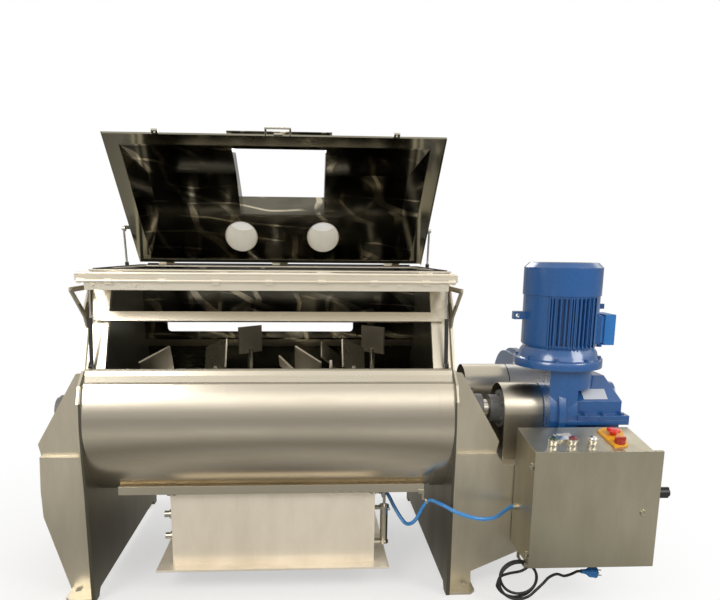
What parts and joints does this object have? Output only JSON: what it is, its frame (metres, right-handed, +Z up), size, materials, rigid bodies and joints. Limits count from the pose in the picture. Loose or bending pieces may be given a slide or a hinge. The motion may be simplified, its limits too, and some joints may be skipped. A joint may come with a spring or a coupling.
{
  "type": "twin-shaft food mixer",
  "caption": "Stainless twin-shaft paddle mixer with an open lid, folding front door, drop-door chute, vertical blue gearmotor and control box.",
  "frame": {"origin": "on the floor under the middle of the trough, halfway between the two shafts", "axes": "+X along the shafts to the drive end, +Y to the back, +Z up"},
  "size_m": [2.57, 1.295, 1.9649],
  "materials": {
    "brushed": "brushed stainless steel",
    "mirror_steel": "polished stainless steel",
    "turned_steel": "turned stainless steel",
    "box_steel": "brushed stainless sheet",
    "blue_paint": "gloss enamel",
    "blue_plastic": "satin",
    "hose_plastic": "gloss hose",
    "cast": "grey paint on cast iron",
    "black_rubber": "black rubber sheath",
    "black_plastic": "satin",
    "white_plastic": "satin",
    "green_plastic": "gloss",
    "red_plastic": "gloss",
    "orange_plastic": "gloss",
    "yellow_plastic": "gloss",
    "chrome_trim": "chromed",
    "beige_parts": "satin"
  },
  "bodies": {
    "frame": {"end_plate_left": "brushed", "end_plate_right": "brushed", "leg_gussets": "brushed", "trough_shell": "mirror_steel", "trough_rims": "brushed", "hood_front": "brushed", "hood_rear": "brushed", "lid_seat": "brushed", "seat_gasket": "black_rubber", "chute_rails": "brushed", "discharge_chute": "brushed", "door_bearings": "cast", "air_cylinders": "turned_steel", "shaft_seals": "turned_steel", "shaft_bearings": "cast", "coupling_guards": "brushed", "drive_base": "brushed", "gear_case": "blue_paint", "gear_cover": "blue_paint", "motor_body": "blue_paint", "fan_cowl": "blue_paint", "terminal_box": "blue_plastic", "control_box": "box_steel", "box_bracket": "brushed", "box_internals": "beige_parts", "panel_fittings": "chrome_trim", "estop_plate": "yellow_plastic", "air_hose": "hose_plastic", "mains_cable": "black_rubber", "mains_plug": "blue_plastic"},
    "rotor_front": {"rotor_front_shaft": "turned_steel", "rotor_front_paddles": "mirror_steel", "coupling_front": "cast"},
    "rotor_rear": {"rotor_rear_shaft": "turned_steel", "rotor_rear_paddles": "mirror_steel", "coupling_rear": "cast"},
    "fan": {"cooling_fan": "black_plastic"},
    "drop_door_front": {"discharge_door_front": "mirror_steel"},
    "drop_door_rear": {"discharge_door_rear": "mirror_steel"},
    "cylinder_rods": {"cylinder_rods": "turned_steel"},
    "lid": {"lid_panel": "mirror_steel", "lid_necks": "brushed", "feed_neck": "brushed", "port_caps": "white_plastic", "lid_handle": "turned_steel"},
    "lid_spring_tubes": {"lid_spring_tubes": "black_plastic"},
    "lid_spring_rods": {"lid_spring_rods": "chrome_trim"},
    "front_door_upper": {"front_door_upper": "brushed"},
    "front_door_lower": {"front_door_lower": "brushed"},
    "door_spring_tubes": {"door_spring_tubes": "black_plastic"},
    "door_spring_rods": {"door_spring_rods": "chrome_trim"},
    "box_door": {"box_door": "box_steel"},
    "button_start": {"button_start": "green_plastic"},
    "button_stop": {"button_stop": "red_plastic"},
    "button_jog": {"button_jog": "chrome_trim"},
    "estop_button": {"estop_button": "red_plastic"},
    "selector_knob": {"selector_knob": "orange_plastic"},
    "isolator_knob": {"isolator_knob": "black_plastic"}
  },
  "joints": [
    {"name": "rotor_front_spin", "type": "hinge", "parent": "frame", "child": "rotor_front", "pos_m": [0, -0.24, 0.745], "axis": [1, 0, 0], "continuous": true},
    {"name": "rotor_rear_spin", "type": "hinge", "parent": "frame", "child": "rotor_rear", "pos_m": [0, 0.24, 0.745], "axis": [1, 0, 0], "continuous": true},
    {"name": "fan_spin", "type": "hinge", "parent": "frame", "child": "fan", "pos_m": [1.255, -0.274, 1.3], "axis": [0, 0, 1], "continuous": true},
    {"name": "drop_door_front_hinge", "type": "hinge", "parent": "frame", "child": "drop_door_front", "pos_m": [0, -0.41, 0.427], "axis": [1, 0, 0], "range_deg": [-75, 0]},
    {"name": "drop_door_rear_hinge", "type": "hinge", "parent": "frame", "child": "drop_door_rear", "pos_m": [0, 0.41, 0.427], "axis": [1, 0, 0], "range_deg": [0, 75]},
    {"name": "cylinder_rod_slide", "type": "slide", "parent": "frame", "child": "cylinder_rods", "axis": [0, 0, 1], "range_m": [-0.0405, 0]},
    {"name": "lid_hinge", "type": "hinge", "parent": "frame", "child": "lid", "pos_m": [0, 0.46, 1.372], "axis": [1, 0, 0], "range_deg": [0, 45]},
    {"name": "lid_spring_swing", "type": "hinge", "parent": "frame", "child": "lid_spring_tubes", "pos_m": [0, 0.34, 1.18], "axis": [1, 0, 0], "range_deg": [0, 24.76]},
    {"name": "lid_spring_slide", "type": "slide", "parent": "lid_spring_tubes", "child": "lid_spring_rods", "axis": [0, -0.1426, 0.9898], "range_m": [-0.1402, 0]},
    {"name": "front_door_upper_hinge", "type": "hinge", "parent": "frame", "child": "front_door_upper", "pos_m": [0, -0.342, 1.348], "axis": [1, 0, 0], "range_deg": [0, 38]},
    {"name": "front_door_fold", "type": "hinge", "parent": "front_door_upper", "child": "front_door_lower", "pos_m": [0, -0.58, 1.325], "axis": [1, 0, 0], "range_deg": [-178, 0]},
    {"name": "door_spring_swing", "type": "hinge", "parent": "frame", "child": "door_spring_tubes", "pos_m": [0, -0.492, 0.985], "axis": [1, 0, 0], "range_deg": [-7.49, 0]},
    {"name": "door_spring_slide", "type": "slide", "parent": "door_spring_tubes", "child": "door_spring_rods", "axis": [0, 0.1132, 0.9936], "range_m": [-0.0593, 0]},
    {"name": "box_door_hinge", "type": "hinge", "parent": "frame", "child": "box_door", "pos_m": [1.015, -0.698, 0.45], "axis": [0, 0, 1], "range_deg": [-110, 0]},
    {"name": "button_start_press", "type": "slide", "parent": "frame", "child": "button_start", "axis": [0, 0.1615, -0.9869], "range_m": [0, 0.005], "stiffness_N_per_m": 400},
    {"name": "button_stop_press", "type": "slide", "parent": "frame", "child": "button_stop", "axis": [0, 0.1615, -0.9869], "range_m": [0, 0.005], "stiffness_N_per_m": 400},
    {"name": "button_jog_press", "type": "slide", "parent": "frame", "child": "button_jog", "axis": [0, 0.1615, -0.9869], "range_m": [0, 0.005], "stiffness_N_per_m": 400},
    {"name": "estop_press", "type": "slide", "parent": "frame", "child": "estop_button", "axis": [0, 0.1615, -0.9869], "range_m": [0, 0.006]},
    {"name": "selector_turn", "type": "hinge", "parent": "frame", "child": "selector_knob", "pos_m": [1.39, -0.63276, 0.68937], "axis": [0, -0.1615, 0.9869], "range_deg": [-60, 60]},
    {"name": "isolator_turn", "type": "hinge", "parent": "frame", "child": "isolator_knob", "pos_m": [1.53, -0.64, 0.488], "axis": [1, 0, 0], "range_deg": [0, 90]}
  ],
  "couplings": [
    {"joint": "rotor_rear_spin", "follows": "rotor_front_spin", "ratio": -1},
    {"joint": "fan_spin", "follows": "rotor_front_spin", "ratio": 24},
    {"joint": "drop_door_rear_hinge", "follows": "drop_door_front_hinge", "ratio": -1},
    {"joint": "cylinder_rod_slide", "follows": "drop_door_front_hinge", "m_per_rad": 0.030023},
    {"joint": "lid_spring_swing", "follows": "lid_hinge", "ratio": 0.54789},
    {"joint": "lid_spring_slide", "follows": "lid_hinge", "m_per_rad": -0.17792},
    {"joint": "door_spring_swing", "follows": "front_door_upper_hinge", "ratio": -0.19457},
    {"joint": "door_spring_slide", "follows": "front_door_upper_hinge", "m_per_rad": -0.08871}
  ]
}
